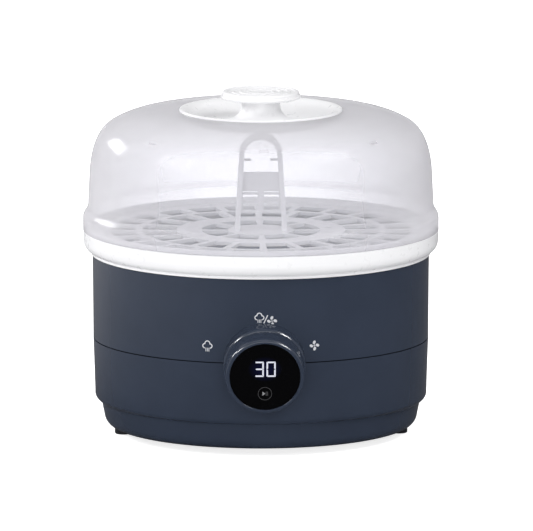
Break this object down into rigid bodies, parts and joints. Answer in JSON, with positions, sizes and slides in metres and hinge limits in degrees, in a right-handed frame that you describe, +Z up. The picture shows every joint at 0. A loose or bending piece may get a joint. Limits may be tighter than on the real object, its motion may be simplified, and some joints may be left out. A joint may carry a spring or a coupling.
{
  "type": "bottle sterilizer",
  "caption": "Round steam sterilizer and dryer for baby bottles: base with heater, blower and tilted display dial, bottle rack, accessory tray with arch handle, and a clear domed lid.",
  "frame": {"origin": "on the vertical axis of the round body, at the height of the undersides of the feet", "axes": "+Z up along the body's axis, -Y out of the front through the dial, +X to the right when looking at the dial"},
  "size_m": [0.2574, 0.2795, 0.2492],
  "materials": {
    "navy_gloss": "glossy moulded navy plastic",
    "white_plastic": "semi-gloss moulded white plastic",
    "clear_dome": "hazy translucent moulded plastic",
    "chamber_plastic": "satin slate-blue moulded plastic",
    "rack_plastic": "semi-gloss pale blue moulded plastic",
    "black_glass": "polished black display window",
    "grey_plastic": "matt grey inner moulding",
    "black_plastic": "matt black moulding",
    "stainless": "brushed stainless steel",
    "aluminium": "plain aluminium",
    "foot_rubber": "matt dark rubber",
    "silicone": "translucent grey silicone",
    "filter_paper": "pleated filter paper",
    "circuit_board": "green solder mask",
    "wire_insulation": "matt wire insulation",
    "ceramic": "cream glazed ceramic"
  },
  "bodies": {
    "base": {"bottom_pan": "navy_gloss", "rubber_feet": "foot_rubber", "pan_screws": "stainless", "lower_shell": "navy_gloss", "upper_shell": "navy_gloss", "chamber_liner": "chamber_plastic", "liner_screws": "stainless", "heating_plate": "stainless", "plate_seal": "silicone", "heat_spreader": "aluminium", "heating_element": "stainless", "thermostat": "black_plastic", "thermal_fuse": "ceramic", "blower_housing": "grey_plastic", "blower_cover": "grey_plastic", "blower_motor": "aluminium", "air_duct": "grey_plastic", "air_heater": "aluminium", "air_outlet_grille": "white_plastic", "filter_box": "grey_plastic", "power_board": "circuit_board", "board_components": "black_plastic", "power_inlet": "black_plastic", "inlet_pins": "stainless", "mains_wires": "wire_insulation", "heater_wires": "wire_insulation", "display_cable": "white_plastic", "dial_collar": "navy_gloss", "dial_retainer": "grey_plastic", "dial_sleeve": "grey_plastic", "detent_ball": "stainless", "detent_spring": "stainless", "display_lens": "black_glass", "display_board": "circuit_board", "display_module": "black_plastic", "touch_spring": "stainless", "position_sensor": "black_plastic"},
    "tray": {"accessory_tray": "white_plastic", "tray_handle": "white_plastic"},
    "lid": {"lid_dome": "clear_dome", "lid_dish": "white_plastic", "dish_clamp": "white_plastic", "lid_knob": "white_plastic", "knob_cap": "white_plastic", "knob_screw": "stainless"},
    "rack": {"bottle_rack": "rack_plastic"},
    "dial": {"dial_ring": "navy_gloss", "dial_magnet": "stainless"},
    "blower": {"blower_shaft": "stainless", "blower_wheel": "black_plastic"},
    "filter": {"filter_cover": "navy_gloss", "air_filter": "filter_paper"}
  },
  "joints": [
    {"name": "tray_lift", "type": "slide", "parent": "base", "child": "tray", "axis": [0, 0, 1], "range_m": [0, 0.2]},
    {"name": "lid_lift", "type": "slide", "parent": "tray", "child": "lid", "axis": [0, 0, 1], "range_m": [0, 0.12]},
    {"name": "rack_lift", "type": "slide", "parent": "base", "child": "rack", "axis": [0, 0, 1], "range_m": [0, 0.1]},
    {"name": "dial_turn", "type": "hinge", "parent": "base", "child": "dial", "pos_m": [0, -0.1213, 0.0689], "axis": [0, -0.9781, -0.2079], "range_deg": [-60, 60]},
    {"name": "blower_spin", "type": "hinge", "parent": "base", "child": "blower", "pos_m": [-0.0171, 0.04698, 0.022], "axis": [0, 0, 1], "continuous": true},
    {"name": "filter_slide", "type": "slide", "parent": "base", "child": "filter", "axis": [0.6157, 0.788, 0], "range_m": [0, 0.04]}
  ],
  "couplings": [
    {"joint": "rack_lift", "follows": "tray_lift", "ratio": 0.5}
  ]
}
